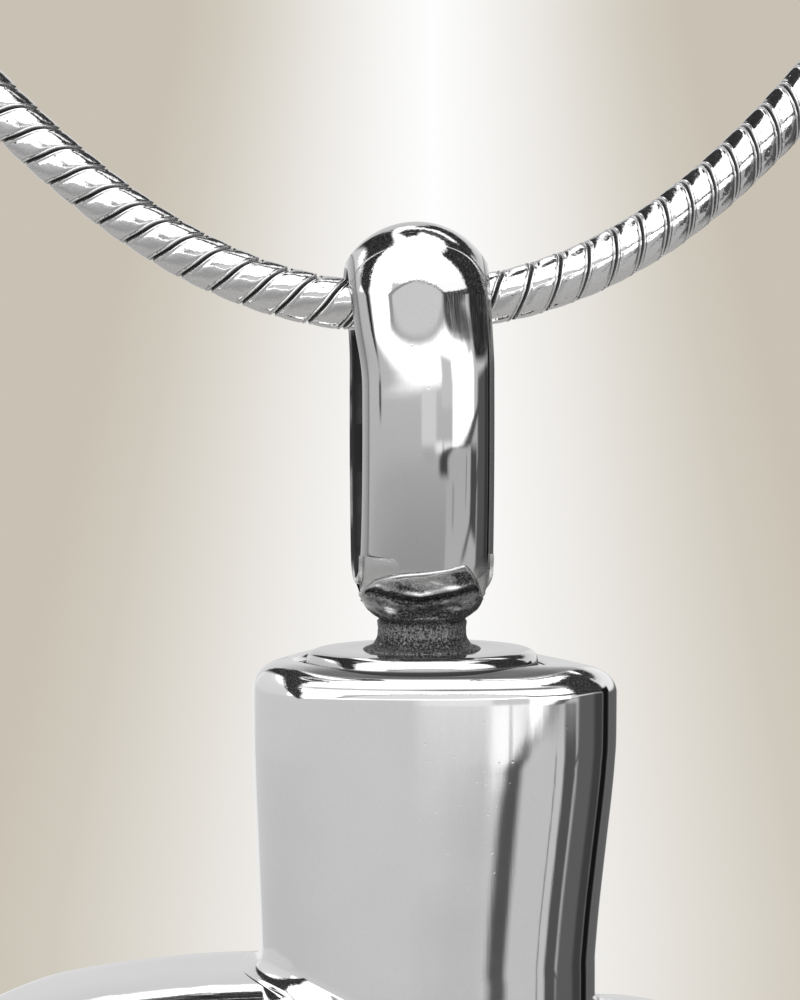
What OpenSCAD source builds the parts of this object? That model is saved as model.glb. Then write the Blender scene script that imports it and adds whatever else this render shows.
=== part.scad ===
// Keepsake urn pendant on a round snake chain, as worn: the origin is at the nape,
// +Z is up, +X is the wearer's left as seen from the front, and the pendant hangs at -Y.

/* [Chain] */
// Diameter over the round snake chain
chain_d = 1.4; // [1.2:0.1:1.6]
// Width of the necklace's loop between its centre lines
loop_w = 116; // [104:1:128]
// Depth of the loop from the nape to the pendant
loop_depth = 120; // [108:1:132]
// Drop of the loop from the nape to the pendant
loop_drop = 178; // [160:1:196]

/* [Clasp] */
// Diameter of the barrel at the nape
clasp_d = 3; // [2.6:0.1:4]
// Length of the barrel
clasp_l = 16; // [12:1:20]
// Depth of the socket that each chain end goes into
socket_depth = 5; // [3:0.5:5.5]
// Gap round the chain end in its socket
socket_gap = 0.08; // [0.05:0.01:0.15]

/* [Bail] */
// Width of the bail's band, side to side
bail_w = 3.56; // [3.2:0.02:4]
// Thickness of the band at the middle of its half-round outside
bail_t = 1.22; // [1:0.02:1.4]
// Gap between the bail's inside and the chain where it hangs on it
bail_gap = 0.25; // [0.25:0.05:0.4]
// Distance between the centres of the bail's upper and lower bends
bail_span = 6.15; // [5:0.05:6.4]

/* [Solder foot] */
// Width of the foot under the band
foot_w = 3; // [2.4:0.1:3.4]
// How far the foot stands out past the band
foot_swell = 0.1; // [0.05:0.01:0.2]
// Height of the foot's upper edge above the band's lowest point
foot_h = 1.4; // [0.8:0.1:1.8]
// Slope of the foot's upper edge, seen from the front
foot_slope = 8; // [0:1:12]
// Radius of the bead of solder round the foot's lower half
bead_r = 1.46; // [1.3:0.02:1.6]
// Height of the bead's middle above the band's lowest point
bead_h = 0.45; // [0.3:0.05:0.6]
// Radius of the rough post at its waist
post_r = 1.15; // [0.9:0.05:1.2]
// Radius of the concave bend from the post out to the flange
post_fillet = 0.42; // [0.2:0.01:0.5]

/* [Screw cap] */
// Diameter of the flange
flange_d = 6.08; // [5.4:0.02:6.2]
// Thickness of the flange
flange_t = 1; // [0.8:0.05:1.2]
// Rounding of the flange's upper edge
flange_round = 0.26; // [0.1:0.02:0.4]
// Depth of the flange's top below the chain's centre
flange_drop = 9; // [8.9:0.01:9.3]
// Outer diameter of the screw shank
shank_d = 3; // [2.5:0.1:3.4]
// Length of the screw shank
shank_l = 3.2; // [2:0.1:4]
// Pitch of the ridges along the shank
shank_pitch = 0.5; // [0.4:0.05:0.7]
// Depth of the ridges
thread_depth = 0.2; // [0.1:0.05:0.25]

/* [Neck] */
// Width of the neck at its top
neck_w = 9.52; // [9:0.02:10]
// Width of the neck at its waist, where it enters the heart
neck_waist_w = 8.74; // [8.2:0.02:9.4]
// Depth of the neck, front to back, at its top
neck_d = 8; // [7.4:0.1:8.4]
// Height of the neck above the heart's shoulder
neck_h = 7.9; // [6:0.05:8.4]
// Rounding of the neck's top edge
neck_round = 0.8; // [0.5:0.05:1]
// How far the neck's middle stands to the right of its bore at the top
neck_shift = 0.33; // [0:0.01:0.4]
// How far it stands to the right of the bore at the waist
waist_shift = 0.15; // [0:0.01:0.4]
// Gap round the flange in its recess
recess_gap = 0.27; // [0.2:0.01:0.3]
// Rounding of the recess's rim
rim_round = 0.2; // [0.1:0.01:0.3]
// How far the flange stands proud of the neck's top
flange_proud = 0.15; // [0.1:0.01:0.3]
// Angle that the urn stands turned against its bail where the screw ends
cap_turn = -6; // [-10:1:10]
// Gap under the flange and at the end of the shank
seat_gap = 0.05; // [0.03:0.01:0.1]
// Gap round the shank in its bore
bore_gap = 0.1; // [0.05:0.01:0.2]

/* [Heart] */
// Width of the heart
heart_w = 31.4; // [28:0.2:34]
// Thickness of the heart, front to back
heart_t = 11.2; // [10:0.1:12]
// Lean of the heart under its neck, seen from the front
heart_lean = 8; // [0:0.5:10]
// How far the heart's middle stands to the right of the bore
heart_shift = 0; // [0:0.1:1.5]
// Wall of the hollow heart
wall = 1.4; // [1:0.1:2]

/* [Hidden] */
$fn = 64;
eps = 0.01;
steel = "silver";

// Where the chain's centre passes through the bail: everything on the pendant is placed from here
hang = [0, -loop_depth, -loop_drop];

// The right half of the chain's route from the bail to the nape, as offsets from hang: x, y, z.
// It is drawn at one size and stretched to the loop's own
ROUTE = [
    [0, 0, 0], [3, 0.2, 0.4], [6, 1.2, 1.6], [9, 2.8, 3.7], [12, 4.6, 6.7], [16, 6.8, 11.9], [21, 9, 20.4],
    [26, 11, 31], [32, 13.2, 46], [38, 16, 63], [44, 21, 82], [50, 28, 102], [55, 38, 122], [58, 51, 140],
    [58, 66, 155], [54, 82, 166], [46, 97, 173], [35, 109, 176.5], [24, 116.5, 178], [15, 119.5, 178],
    [9, 120, 178], [4, 120, 178]
];
// The left strand hangs this much lower than the right near the bail
LEFT_SAG = [0, 0.1, 0.22, 0.28, 0.3, 0.28, 0.2, 0.1];
ROUTE_REACH = [for (axis = [0:2]) max([for (p = ROUTE) p[axis]])];
// Rings made between one route point and the next, and sides of the tube
route_steps = 2;
tube_sides = 8;
// A point inside the loop, which every ring of the tube is turned towards
loop_middle = [0, -60, -90];

clasp_bevel = 0.42;

bail_in_r = chain_d / 2 + bail_gap;
bail_out_r = bail_in_r + bail_t;
// Radius of the circle whose segment is the band's section
band_r = (pow(bail_w / 2, 2) + pow(bail_t, 2)) / (2 * bail_t);
band_bottom = -bail_span - bail_out_r;
bead_z = band_bottom + bead_h;
bead_round = 0.2;
// Below the bead the solder draws in to the post over this height
draw_in = 0.4;

flange_top = -flange_drop;
flange_r = flange_d / 2;
flange_bottom = flange_top - flange_t;
shank_r = shank_d / 2;
shank_bottom = flange_bottom - shank_l;
thread_count = floor((shank_l - shank_pitch) / shank_pitch);

neck_top = flange_top - flange_proud;
recess_r = flange_r + recess_gap;
recess_floor = flange_bottom - seat_gap;
bore_r = shank_r + bore_gap;
neck_foot = neck_top - neck_h;
// Where the neck's side rounds over to its front and back
neck_corner = 2.8;

// Side of the neck from its foot up: share of its height, share of the way from waist to top width
NECK_SIDE = [
    [0.05, 0.08], [0.12, 0.04], [0.22, 0.12], [0.35, 0.3], [0.5, 0.54], [0.65, 0.79], [0.78, 0.94]
];
// Points on the rounding at the top of the side, and along half of the flat top
neck_round_points = 5;
neck_top_points = 4;
// Depths of the rings through the neck, as shares of half its depth
NECK_DEPTHS = [0, 0.4, 0.68, 0.78, 0.87, 0.94, 0.985, 1];

// Right half of the heart's outline, from the cleft to the tip, as shares of half the width: x, z
HEART_OUTLINE = [
    [0, 0.573], [0.1, 0.628], [0.19, 0.66], [0.29, 0.668], [0.42, 0.649], [0.52, 0.627], [0.637, 0.595],
    [0.74, 0.554], [0.86, 0.472], [0.955, 0.35], [1, 0.19], [0.985, -0.01], [0.904, -0.24], [0.764, -0.484],
    [0.573, -0.739], [0.344, -0.968], [0.14, -1.134]
];
HEART_TIP = [0, -1.197];
outline_steps = 3;
// Last point of the outline that the neck's foot can reach
foot_last_index = 6;
// Exponent of the rounding from the heart's edge to its flat face: 2 is a plain oval
edge_exponent = 4;
// Rings from the neck's front to the heart's face, and through half of the hollow
face_rings = 6;
hollow_rings = 4;
// Angle of the last ring at the face, where 90 degrees would be a single point
last_ring_angle = 84;
// Step from the neck's front to the first ring that runs along the cleft instead
front_step = 0.02;
// Height of the shoulders above the heart's middle, as a share of half its width
shoulder_share = 0.72;
// Mean reach of the outline from the heart's middle, as a share of half its width
mean_reach_share = 0.8;
// Height of the heart's middle, so that its shoulders meet the neck's foot
heart_z = neck_foot - shoulder_share * heart_w / 2;

// A point of the smooth curve through b and c
function curve_point(a, b, c, d, t) =
    0.5 * (2 * b + (c - a) * t + (2 * a - 5 * b + 4 * c - d) * t * t + (3 * b - a - 3 * c + d) * t * t * t);

// A smooth open curve through a list of points
function open_curve(p, steps) = concat([
    for (i = [0:len(p) - 2], k = [0:steps - 1])
        curve_point(p[max(i - 1, 0)], p[i], p[i + 1], p[min(i + 2, len(p) - 1)], k / steps)
], [p[len(p) - 1]]);

function unit(v) = v / norm(v);

function mean(p) = [for (i = [0:len(p) - 1]) 1] * p / len(p);

// Points of a stack of rings, with one more in the middle of each end
function stack_points(rings) =
    concat([for (r = rings) each r], [mean(rings[0]), mean(rings[len(rings) - 1])]);

// Faces of a stack of rings with n points each, both ends closed to their middle points
function stack_faces(rings, n) = [
    for (i = [0:n - 1]) let(j = (i + 1) % n, first = rings * n, last = first + 1, end = (rings - 1) * n)
        each concat(
            [[j, i, first], [end + i, end + j, last]],
            [for (r = [0:rings - 2]) each [
                [r * n + i, r * n + j, (r + 1) * n + j],
                [r * n + i, (r + 1) * n + j, (r + 1) * n + i]
            ]]
        )
];

module ring_stack(rings) {
    polyhedron(points = stack_points(rings), faces = stack_faces(len(rings), len(rings[0])));
}

// The tube's rings, each square to the route
function tube_ring(p, i, r) =
    let(
        t = unit(p[min(i + 1, len(p) - 1)] - p[max(i - 1, 0)]),
        side = unit(cross(t, loop_middle - p[i])),
        up = cross(side, t)
    )
    [for (k = [0:tube_sides - 1]) let(a = (k + 0.5) * 360 / tube_sides) p[i] + r * (cos(a) * side + sin(a) * up)];

// The route on one side of the bail: 1 is the right, -1 the left
function half_route(side) = [
    for (i = [0:len(ROUTE) - 1])
        let(p = ROUTE[i], z = side < 0 && i < len(LEFT_SAG) ? p[2] - LEFT_SAG[i] : p[2])
        hang + [
            side * p[0] / ROUTE_REACH[0] * loop_w / 2,
            p[1] / ROUTE_REACH[1] * loop_depth,
            z / ROUTE_REACH[2] * loop_drop
        ]
];

function route_points() =
    let(left = half_route(-1))
    concat([for (i = [len(left) - 1:-1:1]) left[i]], half_route(1));

module snake_chain() {
    path = open_curve(route_points(), route_steps);
    color(steel)
        ring_stack([for (i = [0:len(path) - 1]) tube_ring(path, i, chain_d / 2)]);
}

// A plain barrel with a socket for each end of the chain
module clasp() {
    color(steel)
        rotate([0, 90, 0])
            difference() {
                rotate_extrude()
                    difference() {
                        translate([0, -clasp_l / 2])
                            square([clasp_d / 2, clasp_l]);
                        for (end = [-1, 1])
                            translate([clasp_d / 2, end * clasp_l / 2])
                                rotate(45)
                                    square(clasp_bevel * sqrt(2), center = true);
                    }
                for (end = [-1, 1])
                    translate([0, 0, end * (clasp_l - socket_depth + eps) / 2])
                        cylinder(h = socket_depth + eps, r = chain_d / 2 + socket_gap, center = true);
            }
}

// Half-round section of the band, flat on the inside
module band_section(width, swell) {
    intersection() {
        translate([bail_out_r - band_r, 0])
            circle(r = band_r + swell);
        translate([bail_in_r, -width / 2])
            square([bail_t + 2 * swell, width]);
    }
}

module band_bend(width = bail_w, swell = 0) {
    rotate([0, 90, 0])
        rotate([0, 0, -90])
            rotate_extrude(angle = 180)
                band_section(width, swell);
}

module bail() {
    mirror([0, 0, 1])
        band_bend();
    translate([0, 0, -bail_span])
        band_bend();
    for (side = [-1, 1])
        translate([0, 0, -bail_span])
            rotate([0, 0, side * 90])
                linear_extrude(bail_span)
                    band_section(bail_w, 0);
}

// The bead of solder under the band, cut off along a sloping edge
module solder_foot() {
    intersection() {
        translate([0, 0, -bail_span])
            band_bend(foot_w, foot_swell);
        translate([0, 0, band_bottom + foot_h])
            rotate([0, -foot_slope, 0])
                translate([-bail_w, -2 * bail_out_r, -2 * foot_h])
                    cube([2 * bail_w, 4 * bail_out_r, 2 * foot_h]);
    }
}

// Post, flange and shank, turned about the screw's axis
module screw_cap() {
    waist_z = flange_top + post_fillet;
    rotate_extrude()
        difference() {
            union() {
                translate([0, flange_top - eps])
                    square([post_r + post_fillet, post_fillet + eps]);
                translate([0, waist_z - eps])
                    square([post_r, bead_z - waist_z]);
                polygon([
                    [0, bead_z - draw_in], [post_r, bead_z - draw_in],
                    [bead_r - bead_round / 2, bead_z - bead_round / 2],
                    [bead_r - bead_round, bead_z + bead_round], [0, bead_z + bead_round]
                ]);
                translate([bead_r - bead_round, bead_z])
                    circle(r = bead_round);
                translate([0, flange_bottom])
                    square([flange_r, flange_t - flange_round]);
                translate([0, flange_top - flange_round - eps])
                    square([flange_r - flange_round, flange_round + eps]);
                translate([flange_r - flange_round, flange_top - flange_round])
                    circle(r = flange_round);
                translate([0, shank_bottom])
                    square([shank_r, shank_l + eps]);
            }
            translate([post_r + post_fillet, waist_z])
                circle(r = post_fillet);
            for (i = [0:thread_count])
                translate([shank_r, shank_bottom + i * shank_pitch])
                    rotate(45)
                        square(thread_depth * sqrt(2), center = true);
        }
}

module bail_cap() {
    color(steel)
        translate(hang) {
            bail();
            solder_foot();
            screw_cap();
        }
}

// All of the heart's outline, as shares of half its width, from the cleft round to the cleft
HEART = concat(
    HEART_OUTLINE,
    [HEART_TIP],
    [for (i = [len(HEART_OUTLINE) - 1:-1:1]) [-HEART_OUTLINE[i][0], HEART_OUTLINE[i][1]]]
);

// A point of the outline at place u, counted in the list's points from the cleft
function heart_point(u) =
    let(n = len(HEART), i = floor(u), p = [for (k = [-1:2]) HEART[(i + k + n) % n]])
    curve_point(p[0], p[1], p[2], p[3], u - i);

// Share of the outline that is left at a share of the heart's half thickness
function heart_share(depth) = pow(1 - pow(depth, edge_exponent), 1 / edge_exponent);

// A point of the heart at place u and share s, leaned and put under the neck: x, z
function placed(u, s) =
    let(p = heart_point(u) * s * heart_w / 2, c = cos(heart_lean), n = sin(heart_lean))
    [heart_shift + p[0] * c + p[1] * n, heart_z - p[0] * n + p[1] * c];

// How far the neck's side is drawn in at depth y, where it rounds over to the front or back
function side_inset(y) =
    let(over = min(neck_corner, max(0, y - (neck_d / 2 - neck_corner))))
    neck_corner - sqrt(pow(neck_corner, 2) - pow(over, 2));

// Place along the outline, found by halving, where the heart passes the neck's side at x
function foot_place(x, side, s, low = 0, high = foot_last_index, turns = 14) =
    let(middle = (low + high) / 2, beyond = side * (placed(side * middle, s)[0] - x) > 0)
    turns == 0 ? middle
        : foot_place(x, side, s, beyond ? low : middle, beyond ? middle : high, turns - 1);

// Places of the neck's right and left foot at depth y
function feet(y, s) = [
    for (side = [1, -1])
        foot_place(waist_shift + side * (neck_waist_w / 2 - side_inset(y)), side, s)
];

// The neck's outline at depth y, from its right foot over the top to its left foot
function neck_line(y, s) =
    let(
        inset = side_inset(y),
        drop_over = max(0, y - (neck_d / 2 - neck_round)),
        top = neck_top - neck_round + sqrt(pow(neck_round, 2) - pow(drop_over, 2)),
        half_top = neck_w / 2 - inset,
        half_waist = neck_waist_w / 2 - inset,
        place = feet(y, s),
        rise = [placed(place[0], s)[1], placed(-place[1], s)[1]],
        right = concat(
            [for (l = NECK_SIDE) [half_waist + l[1] * (half_top - half_waist), l[0], 0, l[1]]],
            [for (k = [0:neck_round_points]) let(a = 90 * k / neck_round_points)
                [half_top - neck_round * (1 - cos(a)), 1, neck_round * (1 - sin(a)), 1]],
            [for (k = [1:neck_top_points - 1])
                [(half_top - neck_round) * (1 - k / neck_top_points), 1, 0, 1]]
        ),
        shape = function(p, side) [
            waist_shift + p[3] * (neck_shift - waist_shift) + side * p[0],
            let(foot = rise[side > 0 ? 0 : 1]) foot + p[1] * (top - foot) - p[2]
        ]
    )
    concat(
        [for (p = right) shape(p, 1)],
        [[neck_shift, top]],
        [for (k = [len(right) - 1:-1:0]) shape(right[k], -1)]
    );

neck_points = 2 * (len(NECK_SIDE) + neck_round_points + neck_top_points) + 1;

// The ring at depth y: round the heart from the left foot to the right, then over the neck, or, in front
// of and behind the neck, along the cleft
function body_ring(y, s, with_neck) =
    let(
        n = len(HEART),
        count = outline_steps * n,
        place = feet(min(abs(y), neck_d / 2), s),
        span = n - place[0] - place[1],
        round_heart = [for (k = [0:count]) placed(n - place[1] - span * k / count, s)],
        over = with_neck
            ? neck_line(abs(y), s)
            : [for (k = [1:neck_points])
                placed(place[0] - (place[0] + place[1]) * k / (neck_points + 1), s)]
    )
    [for (p = concat(round_heart, over)) [p[0], y, p[1]]];

// Depth and outline share of each ring from the heart's middle to its face
function half_rings() =
    let(
        half_t = heart_t / 2,
        neck_share = neck_d / heart_t,
        start = asin(pow(neck_share, edge_exponent / 2))
    )
    concat(
        [for (d = NECK_DEPTHS) let(y = d * neck_d / 2) [y, heart_share(y / half_t), true]],
        [for (k = [0:face_rings]) let(a = start + (last_ring_angle - start) * k / face_rings)
            let(y = half_t * pow(sin(a), 2 / edge_exponent) + (k == 0 ? front_step : 0))
            [y, pow(cos(a), 2 / edge_exponent), false]]
    );

module heart_and_neck() {
    half = half_rings();
    ring_stack([
        for (i = [len(half) - 1:-1:1]) body_ring(-half[i][0], half[i][1], half[i][2]),
        for (h = half) body_ring(h[0], h[1], h[2])
    ]);
}

// The hollow inside the heart, its outline drawn in by the wall
module hollow() {
    half_t = heart_t / 2 - wall;
    shrink = 1 - wall / (mean_reach_share * heart_w / 2);
    count = outline_steps * len(HEART);
    ring_stack([
        for (k = [1:2 * hollow_rings - 1])
            let(a = -90 + 90 * k / hollow_rings, s = shrink * pow(cos(a), 2 / edge_exponent))
            [for (i = [0:count - 1]) let(p = placed(len(HEART) - i / outline_steps, s))
                [p[0], half_t * sign(a) * pow(abs(sin(a)), 2 / edge_exponent), p[1]]]
    ]);
}

// Recess for the flange, with a rounded rim, and the bore for the shank
module screw_bore() {
    depth = neck_top - recess_floor;
    translate([0, 0, recess_floor])
        rotate_extrude()
            difference() {
                square([recess_r + rim_round, depth + eps]);
                translate([recess_r, 0])
                    square([rim_round + eps, depth - rim_round]);
                translate([recess_r + rim_round, depth - rim_round])
                    circle(r = rim_round);
            }
    translate([0, 0, heart_z])
        cylinder(h = recess_floor - heart_z + eps, r = bore_r);
}

module urn_body() {
    color(steel)
        translate(hang)
            rotate([0, 0, cap_turn])
                difference() {
                    heart_and_neck();
                    hollow();
                    screw_bore();
                }
}

snake_chain();
clasp();
bail_cap();
urn_body();
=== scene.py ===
"""Keepsake urn pendant on a snake chain: the looks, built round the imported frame."""

import math

import bpy
import numpy as np
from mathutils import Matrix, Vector


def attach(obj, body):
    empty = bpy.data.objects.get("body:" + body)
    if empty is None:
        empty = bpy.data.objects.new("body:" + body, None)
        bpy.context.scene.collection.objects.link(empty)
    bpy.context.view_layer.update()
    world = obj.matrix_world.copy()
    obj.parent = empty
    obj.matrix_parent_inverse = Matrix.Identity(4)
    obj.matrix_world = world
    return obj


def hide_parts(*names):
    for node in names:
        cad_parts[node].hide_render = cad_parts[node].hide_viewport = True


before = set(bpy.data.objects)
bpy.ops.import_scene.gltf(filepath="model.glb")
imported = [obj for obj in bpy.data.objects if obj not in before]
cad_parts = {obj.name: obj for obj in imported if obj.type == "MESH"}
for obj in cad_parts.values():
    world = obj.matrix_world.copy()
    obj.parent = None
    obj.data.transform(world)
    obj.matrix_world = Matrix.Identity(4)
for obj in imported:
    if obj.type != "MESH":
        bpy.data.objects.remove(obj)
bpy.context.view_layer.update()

# Everything below is in millimetres, and make() turns it into metres
MM = 0.001

# The chain's centre in the bail, and the right half of the chain's route from there: x, y, z
HANG = np.array([0.0, -120.0, -178.0])
ROUTE = [
    (0, 0, 0), (3, 0.2, 0.4), (6, 1.2, 1.6), (9, 2.8, 3.7), (12, 4.6, 6.7), (16, 6.8, 11.9), (21, 9, 20.4),
    (26, 11, 31), (32, 13.2, 46), (38, 16, 63), (44, 21, 82), (50, 28, 102), (55, 38, 122), (58, 51, 140),
    (58, 66, 155), (54, 82, 166), (46, 97, 173), (35, 109, 176.5), (24, 116.5, 178), (15, 119.5, 178),
    (9, 120, 178), (4, 120, 178),
]
# How much lower the left half hangs at the route's first points
LEFT_SAG = [0.02, 0.2, 0.3, 0.32, 0.32, 0.28, 0.2, 0.1]
LOOP_MIDDLE = np.array([0.0, -60.0, -90.0])
CHAIN_R = 0.7

# Bail: an oval of four arcs, its band rounded outside
BAIL_TOP = 2.17
BAIL_BOTTOM = -8.32
BAND_T = 1.22
BAND_HALF_W = 1.78
BAND_EDGE = 0.12
END_R = 2.0
SIDE_ANGLE = math.radians(9)
# Furthest place across the band where its crown is still counted
CROWN_REACH = 1.66

# Screw cap: the flange's tilt lifts its front, in millimetres for each millimetre from the middle
POST_R = 1.15
FLANGE_R = 3.04
FLANGE_TOP = -9.0
FLANGE_TILT = 0.042
FLANGE_BOTTOM = -10.0
SHANK_R = 1.5
SHANK_BOTTOM = -13.2
THREAD_PITCH = 0.5
THREAD_DEPTH = 0.2

# Urn
CAP_TURN = math.radians(-6)
NECK_TOP = -9.15
NECK_H = 7.9
NECK_HALF_W = 4.76
WAIST_HALF_W = 4.37
NECK_HALF_D = 4.0
NECK_SHIFT = 0.33
WAIST_SHIFT = 0.15
NECK_ROUND = 0.85
NECK_ROUND_FRONT = 0.6
RECESS_R = 3.31
RECESS_FLOOR = -10.05
RIM_ROUND = 0.2
BORE_R = 1.6
NECK_FOOT = NECK_TOP - NECK_H
# From waist to top: share of the neck's height, share of its widening
NECK_SIDE = [
    (0, 0.03), (0.04, 0.07), (0.16, 0.21), (0.29, 0.4), (0.42, 0.6), (0.55, 0.8), (0.66, 0.93), (0.77, 0.99),
    (1.2, 1),
]
HEART_HALF_W = 15.7
HEART_HALF_T = 5.6
HEART_LEAN = math.radians(8)
HEART_Z = NECK_FOOT - 0.72 * HEART_HALF_W
EDGE_POWER = 4.0
WALL = 1.4
# Right half of the heart from its valley to just before its tip, in half widths: x, z
HEART_OUTLINE = [
    (0, 0.573), (0.1, 0.628), (0.19, 0.66), (0.29, 0.668), (0.42, 0.649), (0.52, 0.627), (0.637, 0.595),
    (0.74, 0.554), (0.86, 0.472), (0.955, 0.35), (1, 0.19), (0.985, -0.01), (0.904, -0.24), (0.764, -0.484),
    (0.573, -0.739), (0.344, -0.968), (0.14, -1.134),
]
HEART_TIP = (0, -1.197)


# Curves and meshes

def spline(points, places, closed=False):
    """Points of the smooth curve through a list of points, at places counted in the list's points."""
    p = np.array(points, float)
    n = len(p)
    u = np.asarray(places, float)
    i = np.floor(u).astype(int)
    if closed:
        a, b, c, d = (p[(i + k) % n] for k in (-1, 0, 1, 2))
    else:
        i = np.clip(i, 0, n - 2)
        a, b, c, d = (p[np.clip(i + k, 0, n - 1)] for k in (-1, 0, 1, 2))
    t = (u - i)[..., None]
    return 0.5 * (2 * b + (c - a) * t + (2 * a - 5 * b + 4 * c - d) * t**2 + (3 * b - a - 3 * c + d) * t**3)


def soft(value, low, high):
    """0 below low and 1 above high, with a smooth step between; the other way round if low is above high."""
    t = np.clip((value - low) / (high - low), 0, 1)
    return t * t * (3 - 2 * t)


def hump(value, middle, width):
    """1 at the middle, and falling off to both sides."""
    return np.exp(-(((value - middle) / width) ** 2))


def unit(v):
    return v / np.linalg.norm(v, axis=-1, keepdims=True)


def around_circle(count):
    return np.arange(count) * 2 * math.pi / count


def blunt(wave, power):
    """A sine or cosine for an oval with blunt corners."""
    return np.sign(wave) * np.abs(wave) ** power


def between(a, b, c, t):
    """A place on the curve from a to c that is drawn towards b."""
    return (1 - t) ** 2 * a + 2 * t * (1 - t) * b + t * t * c


class Form:
    """Patches of points in millimetres, collected into one mesh."""

    def __init__(self):
        self.points, self.faces, self.slots, self.tones, self.count = [], [], [], [], 0

    def patch(self, points, slot=0, wrap_rows=False, wrap_columns=True, flip=False, tone=0.0):
        """Adds a grid of points, joined by quads. Tone is its darkness, from 0 to 1."""
        rows, columns = points.shape[:2]
        r = np.arange(rows if wrap_rows else rows - 1)
        c = np.arange(columns if wrap_columns else columns - 1)
        r, c = np.meshgrid(r, c, indexing="ij")
        r2, c2 = (r + 1) % rows, (c + 1) % columns
        quads = np.stack([r * columns + c, r * columns + c2, r2 * columns + c2, r2 * columns + c], -1).reshape(-1, 4)
        if flip:
            quads = quads[:, ::-1]
        self.points.append(points.reshape(-1, 3))
        self.faces.append(quads + self.count)
        self.slots.append(np.full(len(quads), slot))
        self.tones.append(np.broadcast_to(tone, points.shape[:2]).reshape(-1))
        self.count += rows * columns

    def make(self, name, materials, body):
        """The mesh object, in metres and in its place, riding on its body."""
        points = (np.concatenate(self.points) + HANG) * MM
        quads = np.concatenate(self.faces)
        mesh = bpy.data.meshes.new(name)
        mesh.vertices.add(len(points))
        mesh.vertices.foreach_set("co", points.astype(np.float32).ravel())
        mesh.loops.add(quads.size)
        mesh.loops.foreach_set("vertex_index", quads.astype(np.int32).ravel())
        mesh.polygons.add(len(quads))
        mesh.polygons.foreach_set("loop_start", np.arange(0, quads.size, 4, dtype=np.int32))
        for material in materials:
            mesh.materials.append(material)
        mesh.polygons.foreach_set("material_index", np.concatenate(self.slots).astype(np.int32))
        tone = mesh.attributes.new("tone", "FLOAT", "POINT")
        tone.data.foreach_set("value", np.concatenate(self.tones).astype(np.float32))
        mesh.update(calc_edges=True)
        mesh.validate()
        mesh.shade_smooth()
        piece = bpy.data.objects.new(name, mesh)
        bpy.context.scene.collection.objects.link(piece)
        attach(piece, body)
        return piece


def noise(p, scale, seed=0):
    """Smooth noise between -1 and 1 at points in millimetres: a few crossed waves, the same each run."""
    rng = np.random.default_rng(seed)
    total = np.zeros(p.shape[:-1])
    for _ in range(7):
        direction = unit(rng.normal(size=3))
        total += np.sin(p @ direction * scale * rng.uniform(0.6, 1.7) + rng.uniform(0, 6.28))
    return total / 4


# Materials

def nodes_of(name):
    """A new material with its node tree and its shader."""
    material = bpy.data.materials.new(name)
    material.use_nodes = True
    tree = material.node_tree
    tree.nodes.clear()
    out = tree.nodes.new("ShaderNodeOutputMaterial")
    shader = tree.nodes.new("ShaderNodeBsdfPrincipled")
    tree.links.new(shader.outputs["BSDF"], out.inputs["Surface"])
    return material, tree, shader


def add(tree, kind, links=(), **settings):
    """A node with its settings, and its inputs set from numbers or from other nodes' outputs."""
    node = tree.nodes.new(kind)
    for key, value in settings.items():
        setattr(node, key, value)
    for key, value in dict(links).items():
        if isinstance(value, bpy.types.NodeSocket):
            tree.links.new(value, node.inputs[key])
        else:
            node.inputs[key].default_value = value
    return node


def math_node(tree, operation, *values, clamp=False):
    return add(tree, "ShaderNodeMath", enumerate(values), operation=operation, use_clamp=clamp).outputs[0]


def ramp(tree, source, stops):
    """A colour ramp from places and greys or colours."""
    node = add(tree, "ShaderNodeValToRGB", {"Fac": source})
    elements = node.color_ramp.elements
    while len(elements) < len(stops):
        elements.new(0.5)
    for element, (place, colour) in zip(elements, stops):
        element.position = place
        element.color = (*colour, 1) if isinstance(colour, tuple) else (colour, colour, colour, 1)
    return node.outputs["Color"]


# Noise from its usual low to its usual high, and the sizes of the steel's marks, as waves to the metre
NOISE_LOW, NOISE_HIGH = 0.3, 0.7
CLOUDS, PITS, PIT_FIELDS, DENTS = 420.0, 3400.0, 2300.0, 5200.0
SPECKS, MOTTLE, GRAIN = 17000.0, 21000.0, 26000.0
SCRATCHES = (9000.0, 9000.0, 700.0)
BUMP_HEIGHT = 0.00002


def noise_node(tree, place, scale, detail, roughness=0.5):
    node = add(tree, "ShaderNodeTexNoise", {
        "Vector": place, "Scale": scale, "Detail": detail, "Roughness": roughness})
    return node.outputs["Fac"]


def map_range(tree, value, low, high, to_low=0.0, to_high=1.0, **settings):
    node = add(tree, "ShaderNodeMapRange", {
        "Value": value, "From Min": low, "From Max": high, "To Min": to_low, "To Max": to_high}, **settings)
    return node.outputs[0]


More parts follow.
